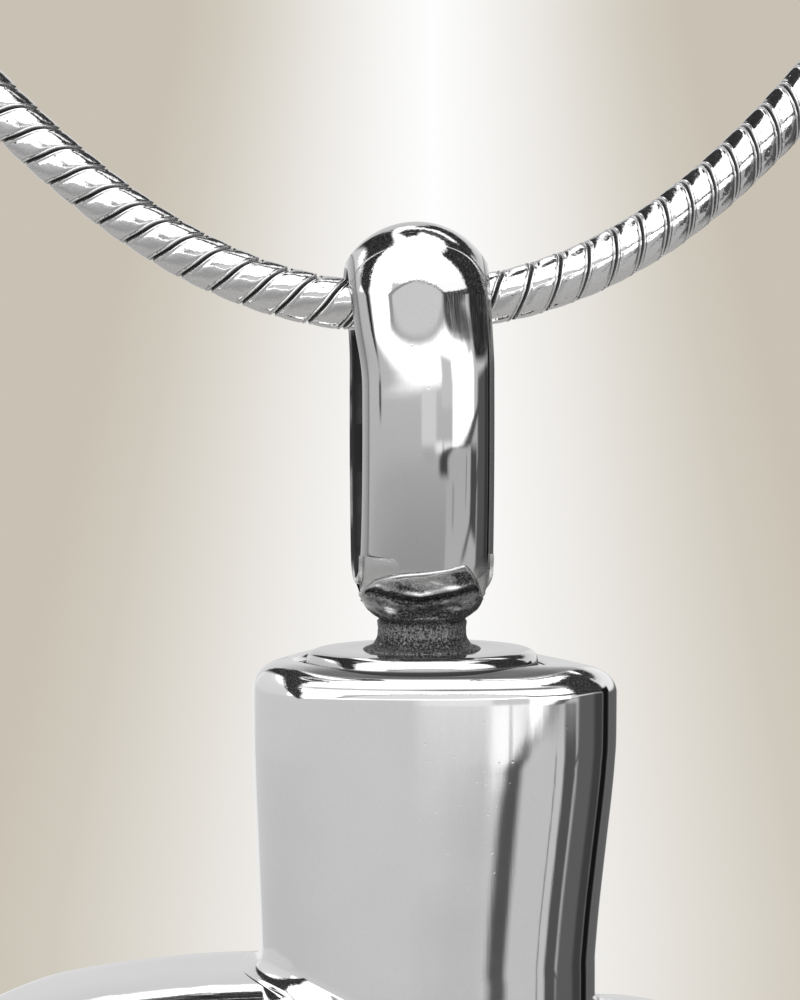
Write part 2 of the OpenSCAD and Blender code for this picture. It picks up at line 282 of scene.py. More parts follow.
def steel(name, colour=0.7, rough=0.06, scratches=0.15, pits=0.0, grain=0.0, dark=0.03, mottle=0.02, dents=0.0):
    """Polished steel: fine scratches, faint cloudiness, pits, and dark where the mesh's tone says so, which mostly is
    painted shade, with a few painted highlights.
    """
    material, tree, shader = nodes_of(name)
    place = add(tree, "ShaderNodeTexCoord").outputs["Object"]
    cloud = noise_node(tree, place, CLOUDS, 3.0)
    scratch_place = add(tree, "ShaderNodeMapping", {"Vector": place, "Scale": SCRATCHES}).outputs[0]
    scratch = noise_node(tree, scratch_place, 1.0, 4.0)
    speck = add(tree, "ShaderNodeTexVoronoi", {"Vector": place, "Scale": PITS, "Randomness": 1.0})
    pit = ramp(tree, speck.outputs["Distance"], [(0.0, 1.0), (0.13, 0.0)])
    pit_field = ramp(tree, noise_node(tree, place, PIT_FIELDS, 2.0), [(0.47, 0.0), (0.53, 1.0)])
    pit = math_node(tree, "MULTIPLY", pit, pit_field)
    tone = add(tree, "ShaderNodeAttribute", attribute_name="tone").outputs["Fac"]
    if grain:
        grit = math_node(tree, "SUBTRACT", noise_node(tree, place, SPECKS, 3.0, 0.75), 0.52)
        grit = math_node(tree, "MULTIPLY", grit, grain)
        grit = math_node(tree, "MULTIPLY", grit, map_range(tree, tone, 0.1, 0.45))
        tone = math_node(tree, "ADD", tone, grit, clamp=True)
    darkness = math_node(tree, "MAXIMUM", tone, math_node(tree, "MULTIPLY", pit, pits, clamp=True), clamp=True)
    clouded = ramp(tree, cloud, [(NOISE_LOW, colour * 0.96), (NOISE_HIGH, colour)])
    fine = noise_node(tree, place, MOTTLE, 3.0, 0.7)
    mottled = map_range(tree, fine, NOISE_LOW, NOISE_HIGH, 1 - mottle, 1 + mottle)
    clouded = add(tree, "ShaderNodeVectorMath", {0: clouded, "Scale": mottled}, operation="SCALE").outputs[0]
    base = add(tree, "ShaderNodeMix", {"Factor": darkness, "A": clouded, "B": (dark, dark, dark, 1)}, data_type="RGBA")
    tree.links.new(base.outputs[2], shader.inputs["Base Color"])
    # Dark places are dull, so that they don't mirror at a low angle
    bare = math_node(tree, "SUBTRACT", 1.0, math_node(tree, "POWER", darkness, 2.0), clamp=True)
    tree.links.new(bare, shader.inputs["Metallic"])
    shader.inputs["Specular IOR Level"].default_value = 0.1
    spread = map_range(tree, cloud, NOISE_LOW, NOISE_HIGH, rough * 0.7, rough * 1.3)
    roughness = math_node(tree, "ADD", spread, math_node(tree, "MULTIPLY", darkness, 0.4))
    tree.links.new(roughness, shader.inputs["Roughness"])
    height = math_node(tree, "MULTIPLY", scratch, scratches)
    height = math_node(tree, "SUBTRACT", height, math_node(tree, "MULTIPLY", pit, pits * 3))
    if dents:
        dent = noise_node(tree, place, DENTS, 2.0)
        height = math_node(tree, "ADD", height, math_node(tree, "MULTIPLY", dent, dents))
    if grain:
        rough_grain = noise_node(tree, place, GRAIN, 4.0, 0.7)
        height = math_node(tree, "ADD", height, math_node(tree, "MULTIPLY", rough_grain, grain))
    bump = add(tree, "ShaderNodeBump", {"Height": height, "Strength": 0.25, "Distance": BUMP_HEIGHT})
    tree.links.new(bump.outputs[0], shader.inputs["Normal"])
    return material


urn_steel = steel("urn_polished_steel", colour=0.8, rough=0.05, scratches=0.12, pits=0.03)
bail_steel = steel("bail_polished_steel", colour=0.63, rough=0.05, scratches=0.12, pits=0.02)
chain_steel = steel("chain_polished_steel", colour=0.66, rough=0.09, scratches=0.3, pits=1.2, mottle=0.09, dents=1.6)
clasp_steel = steel("clasp_polished_steel", colour=0.74, rough=0.1, scratches=0.3, pits=0.3)
solder = steel("solder_rough", colour=0.58, rough=0.14, scratches=0.4, pits=1.0, grain=1.9, dark=0.015)
inner_steel = steel("inner_satin_steel", colour=0.3, rough=0.35, scratches=0.5, pits=0.5, grain=2.0)


# Snake chain: one curved and slanting plate after another

def chain_line():
    """The chain's middle line, finely: length along it, points, two directions across it, and the bail's place."""
    right = [HANG + p for p in np.array(ROUTE, float)]
    left = [HANG + (-p[0], p[1], p[2] - (LEFT_SAG[i] if i < len(LEFT_SAG) else 0)) for i, p in enumerate(ROUTE)]
    points = np.array(left[:0:-1] + right)
    line = spline(points, np.linspace(0, len(points) - 1, (len(points) - 1) * LINE_STEPS + 1))
    s = np.concatenate([[0], np.cumsum(np.linalg.norm(np.diff(line, axis=0), axis=1))])
    tangent = unit(np.gradient(line, s, axis=0))
    side = unit(np.cross(tangent, LOOP_MIDDLE - line))
    up = np.cross(side, tangent)
    near_bail = line[:, 2] < HANG[2] + 20
    middle = s[np.argmin(np.where(near_bail, np.abs(line[:, 0]), np.inf))]
    return s, line, side, up, middle


LINE_STEPS = 300
CHAIN_S, CHAIN_LINE, CHAIN_SIDE, CHAIN_UP, CHAIN_MIDDLE = chain_line()
# Length of one plate, where the first starts, how far it slants, and how square its corners are
PLATE = 0.845
PLATE_PHASE = 0.1
PLATE_SLANT = 0.34
PLATE_SLANT_TURN = math.radians(28)
PLATE_CORNER_TURN = math.radians(22)
PLATE_POWER = 2.7
# Along one plate: share of its length, share of the radius, darkness, which is painted shade in the grooves between
# plates
PLATE_FINE = [
    (0, 0.80, 1), (0.03, 0.81, 1), (0.045, 0.9, 0.6), (0.06, 0.955, 0), (0.085, 0.975, 0), (0.115, 0.975, 0),
    (0.14, 0.958, 0.05), (0.165, 0.953, 0.1), (0.2, 0.966, 0), (0.32, 0.982, 0), (0.47, 0.992, 0), (0.62, 0.996, 0),
    (0.76, 0.992, 0), (0.83, 0.982, 0), (0.85, 0.968, 0.5), (0.868, 0.965, 0.5), (0.885, 0.988, 0),
    (0.92, 1.0, 0), (0.94, 0.975, 0.2), (0.958, 0.86, 0.9), (0.97, 0.80, 1),
]
PLATE_COARSE = [
    (0, 0.81, 1), (0.06, 0.9, 0.5), (0.1, 0.98, 0), (0.45, 1.0, 0), (0.8, 0.98, 0), (0.9, 0.965, 0.2),
    (0.95, 0.84, 0.9),
]


def chain_rings(first, last, profile, around):
    """Points and darkness of the plates numbered first to last, counted from the bail; the darkness is painted shade in
    the grooves between plates.
    """
    n = np.arange(first, last)
    u, r, dark = np.array(profile, float).T
    along = (n[:, None] + u[None, :]).ravel()
    along = np.append(along, last)
    radius = np.append(np.tile(r, len(n)), r[0])
    dark = np.append(np.tile(dark, len(n)), dark[0])
    phi = around_circle(around)
    psi = phi + PLATE_SLANT_TURN
    slant = PLATE_SLANT * np.sin(psi) * (1 + 0.35 * np.sin(psi) ** 2)
    corner = psi + PLATE_CORNER_TURN
    shape = (np.abs(np.cos(corner)) ** PLATE_POWER + np.abs(np.sin(corner)) ** PLATE_POWER) ** (-1 / PLATE_POWER)
    shape *= CHAIN_R / shape.max()
    s = CHAIN_MIDDLE + PLATE_PHASE + along[:, None] * PLATE + slant[None, :]
    s = np.clip(s, 0, CHAIN_S[-1])

    def there(table):
        return np.stack([np.interp(s, CHAIN_S, table[:, k]) for k in range(3)], -1)

    wobble = 1 + 0.006 * np.sin(along * 2.4)[:, None]
    ring = np.cos(phi)[None, :, None] * there(CHAIN_SIDE) + np.sin(phi)[None, :, None] * there(CHAIN_UP)
    rho = radius[:, None] * shape[None, :] * wobble
    return there(CHAIN_LINE) - HANG + ring * rho[..., None], np.broadcast_to(dark[:, None], s.shape)


def chain_piece(name, first, last, profile, around):
    form = Form()
    points, dark = chain_rings(first, last, profile, around)
    for end in (0, -1):
        cap = np.stack([points[end], np.broadcast_to(points[end].mean(0), points[end].shape)])
        form.patch(cap, flip=end == 0)
    # The plates' darkness is painted shade in the grooves between them
    form.patch(points, tone=dark, flip=True)
    piece = form.make(name, [chain_steel], "necklace")
    return piece


# Plates before and after the bail, and how many on each side are near enough to be fine
BEFORE = int(CHAIN_MIDDLE / PLATE) + 1
AFTER = int((CHAIN_S[-1] - CHAIN_MIDDLE) / PLATE) + 1
NEAR = 24
chain_front = chain_piece("chain_front", -NEAR, NEAR, PLATE_FINE, 56)
chain_left = chain_piece("chain_left", -BEFORE, -NEAR, PLATE_COARSE, 24)
chain_right = chain_piece("chain_right", NEAR, AFTER, PLATE_COARSE, 24)
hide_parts("snake_chain")


# Bail, solder foot and screw cap

def bail_curve(count):
    """The bail's outer line from the side, and its outward normals: y, z. It starts at the bottom."""
    middle = (BAIL_TOP + BAIL_BOTTOM) / 2
    end_centre = BAIL_TOP - END_R - middle
    side_r = END_R + end_centre / math.sin(SIDE_ANGLE)
    angle = np.concatenate([
        np.linspace(-math.pi / 2, -SIDE_ANGLE, count, endpoint=False),
        np.linspace(-SIDE_ANGLE, SIDE_ANGLE, count // 2, endpoint=False),
        np.linspace(SIDE_ANGLE, math.pi / 2, count, endpoint=False),
    ])
    angle = np.concatenate([angle, math.pi - angle[::-1] - (angle[1] - angle[0])])
    normal = np.stack([-np.cos(angle), np.sin(angle)], -1)
    on_side = np.abs(np.sin(angle)) < math.sin(SIDE_ANGLE)
    half = side_r - (side_r - END_R) * math.cos(SIDE_ANGLE)
    centre_side = half - side_r
    y = np.where(on_side, -np.sign(np.cos(angle)) * centre_side + side_r * normal[:, 0], END_R * normal[:, 0])
    z = np.where(on_side, side_r * normal[:, 1], np.sign(np.sin(angle)) * end_centre + END_R * normal[:, 1])
    return np.stack([y, z + middle], -1), normal


def crown(across, z):
    """Height of the band's outside over its flat inside: an arc over the dome, half an oval in front and behind."""
    across = np.clip(across, -CROWN_REACH, CROWN_REACH)
    w = BAND_HALF_W - BAND_EDGE
    k = BAND_EDGE - BAND_T
    arc_r = (w * w + k * k - BAND_EDGE * BAND_EDGE) / (2 * (-BAND_EDGE - k))
    arc = BAND_T - arc_r + np.sqrt(np.maximum(arc_r * arc_r - across * across, 0))
    oval = BAND_EDGE + (BAND_T - BAND_EDGE) * np.sqrt(np.maximum(1 - (across / (w + 0.035)) ** 2, 0))
    return arc + (oval - arc) * soft(-z, -0.3, 1.6)


def band_outline():
    """Heights and places across the band, from edge to edge outside and back inside. The crown's heights are nan."""
    r = BAND_EDGE
    w = BAND_HALF_W - r
    t = np.linspace(-1, 1, 81)
    outer = np.stack([np.full(len(t), np.nan), w * np.sin(t * math.pi / 2)], -1)
    turn = np.linspace(math.radians(62), math.pi, 13)[1:]
    edge = np.stack([r + r * np.cos(turn), w + r * np.sin(turn)], -1)
    flat = np.stack([np.zeros(5), np.linspace(w, -w, 7)[1:-1]], -1)
    back = edge[::-1] * (1, -1)
    return np.concatenate([outer, edge, flat, back])


def taper(z):
    """The band is a little wider over the dome."""
    return 1 + 0.03 * soft(z, -1.0, 1.0)


def dome_shift(z):
    """The dome leans a little to the left."""
    return -0.15 * soft(z, -1.6, 1.2)


def band(form):
    """The bail's ring, with painted shade inside it, behind its left edge and low at its right, and a painted dark
    reflection line along each edge.
    """
    line, normal = bail_curve(64)
    section = band_outline()
    across = section[None, :, 1]
    line_y, line_z = line[:, None, 0], line[:, None, 1]
    height = np.where(np.isnan(section[:, 0]), crown(across, line_z), section[None, :, 0])
    # Under the solder the band is a little thinner
    sunk = 0.24 * soft(-line_z, 7.12, 7.4) * soft(height, 0.1, 0.5)
    rise = height - BAND_T - sunk
    y = line_y + normal[:, None, 0] * rise
    z = line_z + normal[:, None, 1] * rise
    front = soft(-y, 0.2, 1.2) * soft(-z, 0.4, 2.0)
    x = across * taper(line_z) * (1 - 0.035 * front) + 0.05 * front + dome_shift(line_z)
    spot = np.stack([x, y, z], -1)
    inner = 0.02
    # Painted shade inside the ring, behind its left edge and low at its right, and a painted dark reflection line along
    # each edge
    edge_line = hump(np.abs(across), 1.645, 0.022) * (height > inner)
    back_left = soft(y, 0.2, 0.8) * soft(-across, 1.3, 1.6) * soft(-z, 0.6, 1.2)
    low_right = soft(-y, 0.2, 0.8) * soft(across, 1.1, 1.4) * soft(-z, 6.3, 7.0)
    tone = (height < inner) * (0.9 + 0.25 * noise(spot, 7.0, 4)) + 0.75 * edge_line
    tone += back_left * (0.85 + 0.3 * noise(spot, 6.0, 7)) + 0.8 * low_right
    form.patch(spot, wrap_rows=True, tone=np.clip(tone, 0, 1))


# Solder's upper edge and its deep crease, from left to right as seen in front: x, z
FOOT_EDGE = [
    (-1.78, -7.75), (-1.6, -7.35), (-1.45, -7.1), (-1.28, -6.96), (-0.75, -6.79), (0, -6.71), (0.5, -6.65),
    (0.86, -6.57), (0.98, -6.60), (1.15, -6.80), (1.3, -7.1), (1.45, -7.45), (1.62, -7.8), (1.78, -8.0),
]
FOOT_CREASE = [
    (-1.7, -7.36), (-1.35, -7.31), (-0.78, -7.46), (-0.26, -7.52), (0.52, -7.40), (1.17, -7.26), (1.6, -7.3),
]
# The solder's height, and half its width and depth there
FOOT_BULK = [
    (-6.4, 1.76, 1.9), (-7.0, 1.76, 1.82), (-7.1, 1.74, 1.78), (-7.3, 1.69, 1.68), (-7.5, 1.63, 1.56),
    (-7.7, 1.56, 1.41), (-7.85, 1.49, 1.29), (-7.96, 1.41, 1.24), (-8.08, 1.26, 1.18), (-8.16, 1.13, 1.11),
    (-8.22, 1.05, 1.05),
]
FOOT_POWER = 2.3


def foot(form):
    """Solder run over the band's lower bend: a lip, a hollow, a roll over a deep crease, and a second roll."""
    top_line = spline(FOOT_EDGE, np.linspace(0, len(FOOT_EDGE) - 1, 300))
    crease_x, crease_z = np.array(FOOT_CREASE).T
    bulk_z, bulk_x, bulk_y = np.array(FOOT_BULK).T
    z = np.linspace(bulk_z[0], bulk_z[-1], 190)[:, None]
    half_x = np.interp(-z, -bulk_z, bulk_x)
    half_y = np.interp(-z, -bulk_z, bulk_y)
    t = np.linspace(-math.pi / 2, math.pi / 2, 170)[None]
    plan_x = blunt(np.sin(t), 2 / FOOT_POWER)
    plan_y = blunt(np.cos(t), 2 / FOOT_POWER)
    for side in (-1, 1):
        x = half_x * plan_x
        seen_x = -x * side
        end_z = BAIL_BOTTOM + END_R
        reach = END_R - (BAND_T - crown(x, z))
        on_band = np.sqrt(np.maximum(reach**2 - (z - end_z) ** 2, 0))
        below = np.interp(seen_x, top_line[:, 0], top_line[:, 1]) - z
        crease = np.interp(seen_x, crease_x, crease_z)
        roll = crease + 0.14
        spot = np.stack([x, on_band * side, z * np.ones_like(x)], -1)
        wave = noise(spot, 3.6, 3)
        inside = soft(below, 0.05, 0.2)
        # How far the solder stands proud
        lift = -0.03 + 0.06 * soft(below, 0.0, 0.03)
        lift = lift + 0.045 * hump(below, 0.07, 0.045) * (1 + 0.7 * wave)
        lift += inside * 0.09 * hump(z, roll, 0.08) * (1 + 0.8 * noise(spot, 5.5, 15))
        lift -= inside * 0.17 * hump(z, crease, 0.05)
        lift += inside * 0.075 * hump(z, crease - 0.2, 0.11) * (1 + 0.6 * wave)
        lift += inside * (0.026 * noise(spot, 9.0, 5) + 0.006 * noise(spot, 30.0, 6))
        swell = half_y * plan_y * soft(-z, 7.0, 7.2) * soft(below, -0.05, 0.2)
        y = np.maximum(on_band, swell) + lift * plan_y ** 0.3
        x = x * (1 + 0.35 * (lift + 0.03) * np.abs(plan_x) ** 6 * soft(-z, 7.1, 7.3))
        # How dark it is: painted shade along its edge, a little darker all over inside it, painted shade in the hollow,
        # the crease, on the underside and at the right end, a painted highlight along the roll, and burnt patches
        tone = 0.9 * hump(below, 0.005, 0.022) + 0.3 * soft(below, 0.14, 0.22)
        tone += inside * (0.25 + 0.5 * soft(seen_x, 0.5, 1.1)) * (z > crease)
        # A painted highlight along the roll, and painted shade in the crease and under it
        tone = tone - 0.45 * hump(z, roll, 0.06) * (1 + noise(spot, 8.0, 21))
        tone += inside * 2.4 * hump(z, crease + 0.015, 0.085)
        tone += inside * 0.35 * (z < crease) + 0.6 * soft(-z, 7.78, 7.9)
        burnt = 0.6 * noise(spot, 4.6, 8) * (1 - hump(z, roll, 0.08)) + 0.25 * noise(spot, 16.0, 9)
        tone += inside * burnt
        tone += 0.7 * soft(seen_x, 1.15, 1.35) * soft(below, 0.02, 0.1)
        # A painted highlight, a bright patch low on the left
        tone -= 0.9 * hump(seen_x, -0.95, 0.2) * hump(z, -7.83, 0.13)
        form.patch(np.stack([x, y * side, z * np.ones_like(x)], -1), slot=1, wrap_columns=False,
                   tone=np.clip(tone, 0, 1), flip=side > 0)


def polar(r, a, z):
    return np.stack([r * np.cos(a), r * np.sin(a), z], -1)


def turned(form, profile, tone, slot=0, rough=0.0, around=192):
    """A profile of radii and heights, with their darkness, turned about the screw's axis and roughened if wanted."""
    profile = np.array(profile, float)
    a = around_circle(around)
    r = profile[:, 0][:, None] * np.ones(around)
    z = profile[:, 1][:, None] * np.ones(around)
    if rough:
        p = polar(r, a, z)
        r = r + rough * (noise(p, 40.0, 11) + 0.5 * noise(p, 104.0, 12))
    # The flange sits a little higher in front
    z = z - FLANGE_TILT * r * np.sin(a) * soft(-z, 8.6, 8.95) * soft(z, FLANGE_BOTTOM, FLANGE_BOTTOM + 0.4)
    form.patch(polar(r, a, z), slot=slot, tone=np.broadcast_to(tone[:, None], r.shape))


def rounded(points, steps):
    """A profile drawn through corner points with a radius each: (radius, height, rounding)."""
    out = []
    p = np.array([q[:2] for q in points], float)
    for i, q in enumerate(points):
        r = q[2] if len(q) > 2 else 0
        if not r or i in (0, len(points) - 1):
            out.append(p[i])
            continue
        a, b = unit(p[i - 1] - p[i]), unit(p[i + 1] - p[i])
        reach = min(r / math.tan(math.acos(np.clip(a @ b, -1, 1)) / 2), 0.49 * np.linalg.norm(p[i - 1] - p[i]),
                    0.49 * np.linalg.norm(p[i + 1] - p[i]))
        for t in np.linspace(0, 1, steps):
            out.append(between(p[i] + a * reach, p[i], p[i] + b * reach, t))
    return out


def densify(profile, step):
    """The profile with no more than about a step between its points."""
    out = [np.array(profile[0], float)]
    for a, b in zip(profile, profile[1:]):
        a, b = np.array(a, float), np.array(b, float)
        n = max(1, int(np.linalg.norm(b - a) / step))
        out += [a + (b - a) * k / n for k in range(1, n + 1)]
    return out


# The post from under the foot down to the flange: radius, height, rounding
POST = [
    (0.6, -7.9), (1.2, -7.98, 0.1), (1.27, -8.08, 0.06), (1.1, -8.2, 0.04), (1.17, -8.27, 0.05),
    (POST_R, -8.45, 0.3), (POST_R + 0.01, -8.69, 0.3), (1.28, -8.89, 0.2), (1.52, -8.98, 0.2), (1.56, -9.05),
]
# Depth below the chain, darkness: the post is dark all along, and painted shade makes it darkest in its groove and just
# above the flange
POST_TONE = [
    (7.9, 0.9), (8.05, 0.8), (8.18, 1), (8.23, 1), (8.27, 0.92), (8.4, 0.85), (8.58, 0.86), (8.68, 1), (8.8, 1),
    (9.0, 0.9),
]


def cap(form):
    """The rough post, darkest with painted shade in its groove and above the flange, the polished flange with painted
    shade on its edge in the gap, and the threaded shank.
    """
    post = densify(rounded(POST, 7), 0.02)
    turned(form, post, np.interp(-np.array(post)[:, 1], *np.array(POST_TONE).T), slot=1, rough=0.004)
    flange = densify(rounded([
        (1.4, FLANGE_TOP - 0.02), (2.2, FLANGE_TOP + 0.005, 0.4), (FLANGE_R, FLANGE_TOP - 0.02, 0.42),
        (FLANGE_R, FLANGE_BOTTOM, 0.08), (SHANK_R - 0.25, FLANGE_BOTTOM - 0.02),
    ], 19), 0.06)
    # Painted shade on the flange's edge down in the gap
    in_gap = soft(-np.array(flange)[:, 1], 9.29, 9.33)
    turned(form, flange, 0.95 * in_gap)
    thread(form)


def thread(form):
    """The shank with its helical thread."""
    around, rows = 96, 150
    a = around_circle(around)
    z = np.linspace(FLANGE_BOTTOM, SHANK_BOTTOM, rows)
    turn = (z[:, None] / THREAD_PITCH - a[None, :] / (2 * math.pi)) % 1
    ridge = 1 - np.abs(2 * turn - 1)
    fade = np.clip((FLANGE_BOTTOM - 0.25 - z) / 0.3, 0, 1) * np.clip((z - SHANK_BOTTOM) / 0.3, 0, 1)
    r = SHANK_R - 0.02 - THREAD_DEPTH * (1 - np.clip(ridge * 1.3, 0, 1)) * fade[:, None]
    r = r - 0.25 * np.clip((SHANK_BOTTOM + 0.25 - z) / 0.25, 0, 1)[:, None]
    p = polar(r, a, np.broadcast_to(z[:, None], r.shape))
    end = p[-1:] * (0.001, 0.001, 1)
    form.patch(np.concatenate([p, end]), tone=0.1)


def cap_piece(name, fill):
    """A piece of the bail and cap, whose form is filled by a function."""
    form = Form()
    fill(form)
    piece = form.make(name, [bail_steel, solder], "cap")
    return piece


bail = cap_piece("bail", band)
solder_foot = cap_piece("solder_foot", foot)
screw_cap = cap_piece("screw_cap", cap)
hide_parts("bail_cap")


# Urn: neck, heart, and a fillet where the neck grows out of the heart

HEART = HEART_OUTLINE + [HEART_TIP] + [(-x, z) for x, z in HEART_OUTLINE[:0:-1]]
COS, SIN = math.cos(HEART_LEAN), math.sin(HEART_LEAN)


def heart_ring(share, count, scale=1.0):
    """The leaned outline of the heart at a share of its size: x, z."""
    p = spline(HEART, np.arange(count) * len(HEART) / count, closed=True) * share * HEART_HALF_W * scale
    return np.stack([p[:, 0] * COS + p[:, 1] * SIN, HEART_Z - p[:, 0] * SIN + p[:, 1] * COS], -1)


OUTLINE = spline(HEART, np.linspace(0, len(HEART), 2001)[:-1], closed=True)
OUTLINE_ANGLE = np.unwrap(np.arctan2(OUTLINE[:, 0], OUTLINE[:, 1]))
OUTLINE_R = np.hypot(OUTLINE[:, 0], OUTLINE[:, 1])


def heart_level(x, y, z):
    """1 on the heart's surface, less inside it."""
    dz = z - HEART_Z
    px, pz = (x * COS - dz * SIN) / HEART_HALF_W, (x * SIN + dz * COS) / HEART_HALF_W
    angle = np.arctan2(px, pz) % (2 * math.pi)
    reach = np.interp(angle, OUTLINE_ANGLE, OUTLINE_R, period=2 * math.pi)
    share = np.hypot(px, pz) / reach
    return np.abs(y / HEART_HALF_T) ** EDGE_POWER + share**EDGE_POWER


def drop_on_heart(x, y, high, low):
    """Height of the heart's surface under each point, by halving."""
    high, low = np.broadcast_to(high, x.shape).astype(float).copy(), np.broadcast_to(low, x.shape).astype(float).copy()
    for _ in range(30):
        middle = (high + low) / 2
        outside = heart_level(x, y, middle) > 1
        high, low = np.where(outside, middle, high), np.where(outside, low, middle)
    return (high + low) / 2


def heart_shell(half_t, scale, rings, count):
    """The puffed heart from its front to its back, in rings that lie closer towards its faces."""
    a = np.linspace(-0.5, 0.5, rings) * math.pi
    a = a + 0.18 * np.sin(2 * a)
    a[0], a[-1] = -math.pi / 2, math.pi / 2
    depth = blunt(np.sin(a), 2 / EDGE_POWER) * half_t
    share = blunt(np.cos(a), 2 / EDGE_POWER)
    share[0] = share[-1] = 0.002
    p = np.stack([heart_ring(s, count, scale) for s in share])
    y = np.broadcast_to(depth[:, None], p.shape[:2])
    return np.stack([p[..., 0], y, p[..., 1]], -1)


def neck_half_w(z):
    """Half the neck's width and its middle's place at a height."""
    fine = spline(NECK_SIDE, np.linspace(0, len(NECK_SIDE) - 1, 400))
    share = np.interp((z - NECK_FOOT) / NECK_H, fine[:, 0], fine[:, 1])
    return WAIST_HALF_W + share * (NECK_HALF_W - WAIST_HALF_W), WAIST_SHIFT + share * (NECK_SHIFT - WAIST_SHIFT)


# Recess and bore from the rim down: radius, height
RECESS = [
    (RECESS_R, RECESS_FLOOR + 0.1), (RECESS_R, RECESS_FLOOR + 0.03), (RECESS_R - 0.05, RECESS_FLOOR),
    (RECESS_R - 0.1, RECESS_FLOOR), (BORE_R + 0.05, RECESS_FLOOR), (BORE_R, RECESS_FLOOR - 0.04),
    (BORE_R, RECESS_FLOOR - 0.3), (BORE_R, NECK_FOOT - 3.4),
]
NECK_POWER = 2.6
NECK_FILLET = 0.5
FILLET_ROWS, WALL_ROWS, BEND_ROWS, FLAT_ROWS, RIM_ROWS = 12, 59, 27, 4, 8


def neck(form, around=288):
    """The neck from its fillet on the heart, up its wall, over its bend and flat top, and down recess and bore."""
    a = around_circle(around)
    a = a - 0.13 * np.sin(4 * a)
    plan = np.stack([blunt(np.cos(a), 2 / NECK_POWER), blunt(np.sin(a), 2 / NECK_POWER)], -1)
    normal = unit(blunt(plan, NECK_POWER - 1) / (NECK_HALF_W, NECK_HALF_D))

    def wall(z):
        half, shift = neck_half_w(z)
        return np.stack([shift + plan[:, 0] * half, plan[:, 1] * NECK_HALF_D], -1)

    def level(xy, z):
        return np.column_stack([xy, np.broadcast_to(z, around)])

    foot_xy = wall(NECK_FOOT)
    join = drop_on_heart(*foot_xy.T, NECK_FOOT + 3, HEART_Z)
    out = foot_xy + normal * NECK_FILLET
    land = drop_on_heart(*out.T, NECK_FOOT + 3, HEART_Z)
    start = join + NECK_FILLET
    rows = [level(out + normal * 0.02, land - 0.04)]
    for t in np.linspace(0, 1, FILLET_ROWS):
        rows.append(between(level(out, land), level(foot_xy, join), level(foot_xy, start), t))
    bend = NECK_ROUND_FRONT + (NECK_ROUND - NECK_ROUND_FRONT) * np.abs(plan[:, 0]) ** 4
    top = NECK_TOP - bend
    for t in np.linspace(0, 1, WALL_ROWS + 1)[1:]:
        z = start + (top - start) * t
        rows.append(level(wall(z), z))
    rim_r = RECESS_R + RIM_ROUND
    bend_angle = np.linspace(0, math.pi / 2, BEND_ROWS + 1)[1:]
    for t in bend_angle:
        xy = wall(NECK_TOP) - plan * (bend * (1 - math.cos(t)))[:, None]
        away = np.linalg.norm(xy, axis=1)
        xy = xy * np.maximum(1, (rim_r + 0.02) / away)[:, None]
        rows.append(level(xy, top + bend * math.sin(t)))
    last = rows[-1][:, :2]
    ring = unit(last)
    for t in np.linspace(0, 1, FLAT_ROWS + 1)[1:]:
        rows.append(level(last * (1 - t) + ring * rim_r * t, NECK_TOP))
    for t in np.linspace(0, math.pi / 2, RIM_ROWS + 1)[1:]:
        r = rim_r - RIM_ROUND * math.sin(t)
        rows.append(level(ring * r, NECK_TOP - RIM_ROUND * (1 - math.cos(t))))
    for r, z in RECESS:
        rows.append(level(ring * r, z))
    rows = np.stack(rows)

    # The top is ground lower at its front edge and towards the back, most of all at its right corner
    x, y = rows[..., 0], rows[..., 1]
    low = 0.1 * soft(-y, 2.4, 3.4) + 0.1 * soft(y, -1, 3)
    low += 0.24 * soft(-x, 1.2, 4.2) * soft(y, -2.0, 2.0)
    low += 0.4 * soft(x, 0.3, 4.2) * soft(y, -2.8, 1.5)
    rows[..., 2] -= low * np.clip((rows[..., 2] + 10.6) / 1.3, 0, 1)

    # Painted shade in the recess and bore, and in front painted shade against the flange and a painted dark reflection
    # line along the bend
    tone = np.zeros(rows.shape[:2])
    tone[-len(RECESS):] = 0.7
    past_bend = FLAT_ROWS + RIM_ROWS
    front = slice(-(BEND_ROWS + past_bend + len(RECESS)), -len(RECESS))
    x, y = x[front], y[front]
    flange_shade = np.append(soft(np.degrees(bend_angle), 62, 70), np.ones(past_bend))
    line = np.append(hump(np.degrees(bend_angle), 30, 4.2), np.zeros(past_bend))
    tone[front] = 0.92 * flange_shade[:, None] * soft(-y, 1.6, 3.0)
    tone[front] += line[:, None] * (soft(-y, 2.9, 3.4) * soft(np.abs(x), 4.3, 3.2) * (0.75 + 0.25 * soft(x, -1, 1)))
    form.patch(rows, tone=tone)


def urn_piece():
    """Neck, heart and the hollow's lining, turned about the vertical as the neck is in the photograph."""
    form = Form()
    neck(form)
    form.patch(heart_shell(HEART_HALF_T, 1.0, 90, 400))
    hollow = heart_shell(HEART_HALF_T - WALL, 1 - WALL / (0.8 * HEART_HALF_W), 30, 120)
    form.patch(hollow, slot=1, flip=True, tone=0.3)
    c, s = math.cos(CAP_TURN), math.sin(CAP_TURN)
    turn = np.array([[c, s, 0], [-s, c, 0], [0, 0, 1]])
    form.points = [p @ turn for p in form.points]
    return form.make("urn", [urn_steel, inner_steel], "urn")


urn = urn_piece()
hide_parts("urn_body")

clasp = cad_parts["clasp"]
clasp.data.materials.clear()
clasp.data.materials.append(clasp_steel)


# Studio: pale floor, room of light panels, and the camera at the photograph's angle

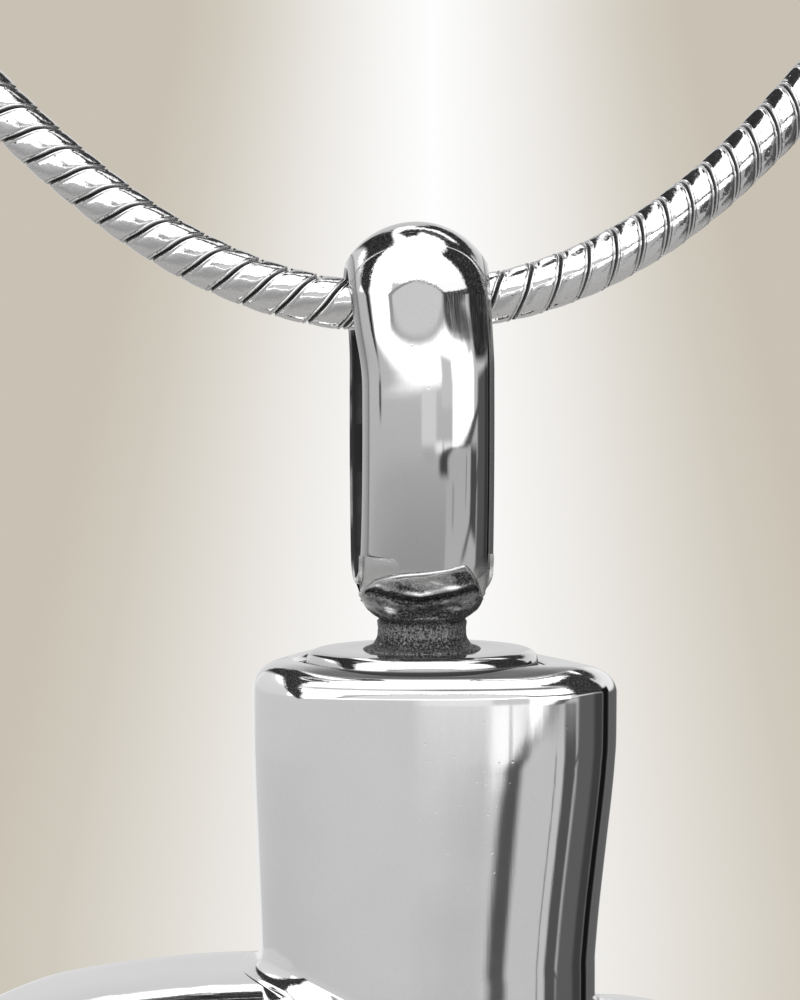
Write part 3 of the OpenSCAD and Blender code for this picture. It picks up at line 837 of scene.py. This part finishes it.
# Where the camera looks from, and how far its aim lies left of and below the chain's centre in the bail, in metres
VIEW_AZ, VIEW_EL = math.radians(6), math.radians(6)
DISTANCE = 0.250
AIM_LEFT, AIM_DOWN = 0.000571, 0.005065
LENS, SENSOR = 346.5, 36.0
FORWARD = Vector((math.sin(VIEW_AZ) * math.cos(VIEW_EL), math.cos(VIEW_AZ) * math.cos(VIEW_EL), -math.sin(VIEW_EL)))
RIGHT = Vector((math.cos(VIEW_AZ), -math.sin(VIEW_AZ), 0))
UP = RIGHT.cross(FORWARD)
FOCUS = Vector(HANG * MM)

camera = bpy.data.objects.new("camera", bpy.data.cameras.new("camera"))
bpy.context.scene.collection.objects.link(camera)
bpy.context.scene.camera = camera
camera.location = FOCUS - FORWARD * DISTANCE
aim = FOCUS - RIGHT * AIM_LEFT - UP * AIM_DOWN - camera.location
camera.rotation_euler = aim.to_track_quat("-Z", "Y").to_euler()
camera.data.sensor_width = SENSOR
camera.data.lens = LENS
camera.data.clip_start = 0.01
camera.data.clip_end = 50.0


def linear(tone):
    """A display tone, 0 to 255, as light."""
    v = tone / 255
    return v / 12.92 if v <= 0.04045 else ((v + 0.055) / 1.055) ** 2.4


def step(tree, value, low, high, rising=True):
    """A soft step of a value between two places."""
    ends = (0.0, 1.0) if rising else (1.0, 0.0)
    return map_range(tree, value, low, high, *ends, interpolation_type="SMOOTHSTEP")


def product(tree, first, *others):
    for other in others:
        first = math_node(tree, "MULTIPLY", first, other)
    return first


def grey_ramp(tree, source, stops):
    return add(tree, "ShaderNodeRGBToBW", {"Color": ramp(tree, source, stops)}).outputs[0]


world = bpy.data.worlds.new("studio")
bpy.context.scene.world = world
world.use_nodes = True
tree = world.node_tree
tree.nodes.clear()
direction = add(tree, "ShaderNodeTexCoord").outputs["Generated"]
axes = add(tree, "ShaderNodeSeparateXYZ", {"Vector": direction}).outputs

# The room that the metal mirrors, by direction, in degrees: turn 0 is the front, and rises to the right.
# Higher up, a ragged shift roughens the panels' edges.
DEGREES = 57.296
TURN = math_node(tree, "ARCTAN2", axes[0], math_node(tree, "MULTIPLY", axes[1], -1.0))
TURN = math_node(tree, "MULTIPLY", TURN, DEGREES)
HEIGHT = math_node(tree, "MULTIPLY", math_node(tree, "ARCSINE", axes[2]), DEGREES)
sway = map_range(tree, noise_node(tree, direction, 30.0, 5.0, 0.65), NOISE_LOW, NOISE_HIGH, -1.0, 1.0, clamp=False)
amount = map_range(tree, HEIGHT, 5.0, 35.0, 0.1, 4.0, interpolation_type="SMOOTHSTEP")
shift = math_node(tree, "MULTIPLY", sway, amount)
TURN = math_node(tree, "ADD", TURN, shift)
HEIGHT = math_node(tree, "ADD", HEIGHT, shift)

# Tones of the room: white panels, and two speckled darks
WHITE = 2.4
grit = noise_node(tree, direction, 38.0, 4.0, 0.8)
speckled = grey_ramp(tree, grit, [(0.4, 0.03), (0.52, 0.12), (0.6, 0.3), (0.68, 0.8)])
dim = grey_ramp(tree, grit, [(0.4, 0.01), (0.54, 0.05), (0.62, 0.16), (0.7, 0.45)])


def over(under, mask, tone):
    return add(tree, "ShaderNodeMix", {"Factor": mask, "A": under, "B": tone}).outputs[0]


def panel(under, tone, turn, half, low, high, soft, soft_turn, lean=0.0, bend_low=0.0, bend_high=0.0, arch=0.0):
    """A soft-edged panel of the room over what is under it, in degrees.

    Lean lifts it per degree of turn, the bends draw its low and high edges in towards its sides, and arch drops its
    ends.
    """
    away = math_node(tree, "WRAP", math_node(tree, "SUBTRACT", TURN, float(turn)), 180.0, -180.0)
    aside = math_node(tree, "ABSOLUTE", away)
    level = math_node(tree, "SUBTRACT", HEIGHT, math_node(tree, "MULTIPLY", away, lean)) if lean else HEIGHT
    square = math_node(tree, "POWER", math_node(tree, "DIVIDE", aside, float(half)), 2.0)
    if arch:
        drop = math_node(tree, "MULTIPLY", math_node(tree, "POWER", away, 2.0), arch)
        level = math_node(tree, "ADD", level, drop)
    over_low = math_node(tree, "SUBTRACT", level, math_node(tree, "MULTIPLY", square, bend_low)) if bend_low else level
    to_high = math_node(tree, "ADD", level, math_node(tree, "MULTIPLY", square, bend_high)) if bend_high else level
    mask = product(tree, step(tree, aside, half - soft_turn, half + soft_turn, rising=False),
                   step(tree, over_low, low - soft, low + soft),
                   step(tree, to_high, high - soft, high + soft, rising=False))
    return over(under, mask, tone)


def panels(room, rows):
    """Panels laid one over another, each a tone and its place, with its bends last where it has any."""
    for tone, *place in rows:
        bends = place.pop() if isinstance(place[-1], dict) else {}
        room = panel(room, tone, *place, **bends)
    return room


# Floor to ceiling first. Then each panel's tone, turn, half width, low and high edge, and softness up and across
plain_room = grey_ramp(tree, map_range(tree, HEIGHT, -90.0, 90.0), [
    (0.0, 0.28), (0.333, 0.42), (0.39, 0.5), (0.433, 0.61), (0.452, 0.71), (0.48, 0.74), (0.5, 0.8), (0.6, 0.85),
    (0.66, 1.0)])
room = panels(plain_room, [
    (WHITE, 0, 200, 27, 200, 3, 3),
    (WHITE, -69, 26, 2, 60, 2, 2),
    (1.6, 52, 40, 14, 28, 3, 3),
    (dim, 152, 23, 22, 40, 3, 3),
    (WHITE, -166, 5, 31, 60, 3, 2),
    (0.95, 155, 40, -2, 15, 3, 3),
    (speckled, 150, 38, 45, 57, 2, 6, {"bend_high": 6}),
    (WHITE, -8, 68, -0.6, 8, 1.3, 3, {"lean": 0.03}),
    (0.45, -6, 42, 4.2, 34, 1.0, 2, {"lean": 0.09, "bend_low": 3, "bend_high": 24}),
    (0.92, -5, 38, 5.2, 31, 1.2, 3, {"lean": 0.09, "bend_low": 3, "bend_high": 23}),
    (speckled, 56, 24, 8.9, 15, 0.6, 3),
    (0.85, 24, 7, -3.5, 5, 0.8, 2),
    (1.3, 30, 22, -9.5, -8.0, 0.4, 3),
    (WHITE, 50, 18, -7.4, 5.5, 0.8, 2.5, {"lean": 0.1}),
    (0.8, 19, 1.0, -10, -8, 0.4, 0.8),
    (0.98, 1, 9, -8.5, -1, 0.7, 2),
    (0.62, 2, 8, -11.5, -9, 0.8, 5),
    (dim, -130, 53, 34, 65, 3, 3, {"arch": 0.017}),
    (plain_room, -92, 24, -95, -5.5, 1.0, 2),
    (0.75, 180, 11, -8, 33, 2, 2),
    (dim, -178, 12, 48, 66, 2, 3),
    (dim, 124, 12, 27, 55, 3, 4),
    (dim, 99, 25, 1.5, 60, 2, 3, {"lean": -0.12}),
])

# A dark band that leans over to the left as it drops, with a plain grey side to its right: height, turn
LEANING = [
    (-16, 22), (-11.1, 19.5), (-10.3, 19.5), (-9.5, 22), (-8.9, 27), (-8.7, 35), (-8.5, 46), (-8.2, 55),
    (-5.8, 69), (-4.4, 84), (-2.5, 92),
]
LEANING_LOW, LEANING_HIGH, MOST_TURN = -16.0, -2.0, 100.0
leaning = grey_ramp(tree, map_range(tree, HEIGHT, LEANING_LOW, LEANING_HIGH), [
    ((height - LEANING_LOW) / (LEANING_HIGH - LEANING_LOW), turn / MOST_TURN) for height, turn in LEANING])
past_band = math_node(tree, "SUBTRACT", TURN, math_node(tree, "MULTIPLY", leaning, MOST_TURN))
room = over(room, product(
    tree, step(tree, past_band, 0.0, 3.0), step(tree, HEIGHT, -4.0, -2.5, rising=False)), 0.64)
room = over(room, product(
    tree, step(tree, math_node(tree, "ABSOLUTE", past_band), 2.5, 9.0, rising=False),
    step(tree, HEIGHT, -13.4, -11.8), step(tree, HEIGHT, -3.0, -1.0, rising=False)), 0.09)
room = panels(room, [
    (0.42, 33, 1.2, -19, -13.4, 0.8, 1.5),
    (0.3, 53.5, 0.7, -15.2, -9.4, 0.5, 0.6),
])

# A thin slanting line, and the dark bands low on the right and behind
line = math_node(tree, "SUBTRACT", TURN, math_node(tree, "MULTIPLY_ADD", HEIGHT, 2.5, 104.0))
room = over(room, product(
    tree, step(tree, math_node(tree, "ABSOLUTE", line), 0.8, 3.5, rising=False),
    step(tree, HEIGHT, -24.0, -20.0), step(tree, HEIGHT, -8.0, -5.0, rising=False)), 0.18)
room = panels(room, [
    (0.1, 69, 7, -17, -8.2, 0.8, 2),
    (0.13, 93, 15, -40, -1, 2, 3),
    (0.06, 112, 9, -40, -1, 2, 4),
    (0.008, 128, 8, -40, 6, 2, 2),
    (0.13, 150, 16, -40, -3, 2, 4),
    (0.9, -174, 9, -40, -3, 2, 2),
])

# The backdrop behind the object: a white glow that widens downwards on warm beige, in pixels of the photograph
FRAME_H = 1000
PX = LENS / SENSOR * FRAME_H
GLOW_X = 33.0
forward = aim.normalized()
across_dir = forward.cross(Vector((0, 0, 1))).normalized()
down_dir = forward.cross(across_dir)


def along(vector):
    return add(tree, "ShaderNodeVectorMath", {0: direction, 1: tuple(vector)}, operation="DOT_PRODUCT").outputs["Value"]


ahead = math_node(tree, "MAXIMUM", along(forward), 0.02)
across = math_node(tree, "MULTIPLY", math_node(tree, "DIVIDE", along(across_dir), ahead), PX)
down = math_node(tree, "MULTIPLY", math_node(tree, "DIVIDE", along(down_dir), ahead), PX)
spread = map_range(tree, down, -480.0, 430.0, 250.0, 470.0)
from_glow = math_node(tree, "ABSOLUTE", math_node(tree, "SUBTRACT", across, GLOW_X))
glow = math_node(tree, "DIVIDE", from_glow, spread)
backdrop = ramp(tree, glow, [
    (place, tuple(linear(t) for t in tones)) for place, tones in [
        (0.0, (254, 254, 254)), (0.2, (246, 245, 243)), (0.4, (236, 233, 229)), (0.6, (222, 218, 209)),
        (0.8, (209, 203, 191)), (1.0, (201, 193, 180))]])

seen = add(tree, "ShaderNodeLightPath").outputs["Is Camera Ray"]
shown = add(tree, "ShaderNodeMix", {"Factor": seen, "A": room, "B": backdrop}, data_type="RGBA")
background = add(tree, "ShaderNodeBackground", {"Color": shown.outputs[2], "Strength": 1.0})
world_out = add(tree, "ShaderNodeOutputWorld")
tree.links.new(background.outputs[0], world_out.inputs["Surface"])

# A round floor that fades out towards its edge, in metres
FLOOR_Z, FLOOR_R = -0.30, 0.34
FADE_FROM, FADE_TO = 0.18, 0.32
bpy.ops.mesh.primitive_circle_add(vertices=128, radius=FLOOR_R, fill_type="NGON", location=(0, -0.06, FLOOR_Z))
floor = bpy.context.object
floor.name = "floor"
floor_material, floor_tree, floor_shader = nodes_of("pale_floor")
floor_place = add(floor_tree, "ShaderNodeTexCoord").outputs["Object"]
floor_colour = ramp(floor_tree, noise_node(floor_tree, floor_place, 30.0, 5.0), [
    (NOISE_LOW, (0.37, 0.365, 0.355)), (NOISE_HIGH, (0.40, 0.395, 0.385))])
floor_tree.links.new(floor_colour, floor_shader.inputs["Base Color"])
floor_shader.inputs["Roughness"].default_value = 0.7
from_middle = add(floor_tree, "ShaderNodeVectorMath", {0: floor_place}, operation="LENGTH").outputs["Value"]
floor_tree.links.new(step(floor_tree, from_middle, FADE_FROM, FADE_TO, rising=False), floor_shader.inputs["Alpha"])
floor.data.materials.append(floor_material)

bpy.context.scene.view_settings.view_transform = "Standard"
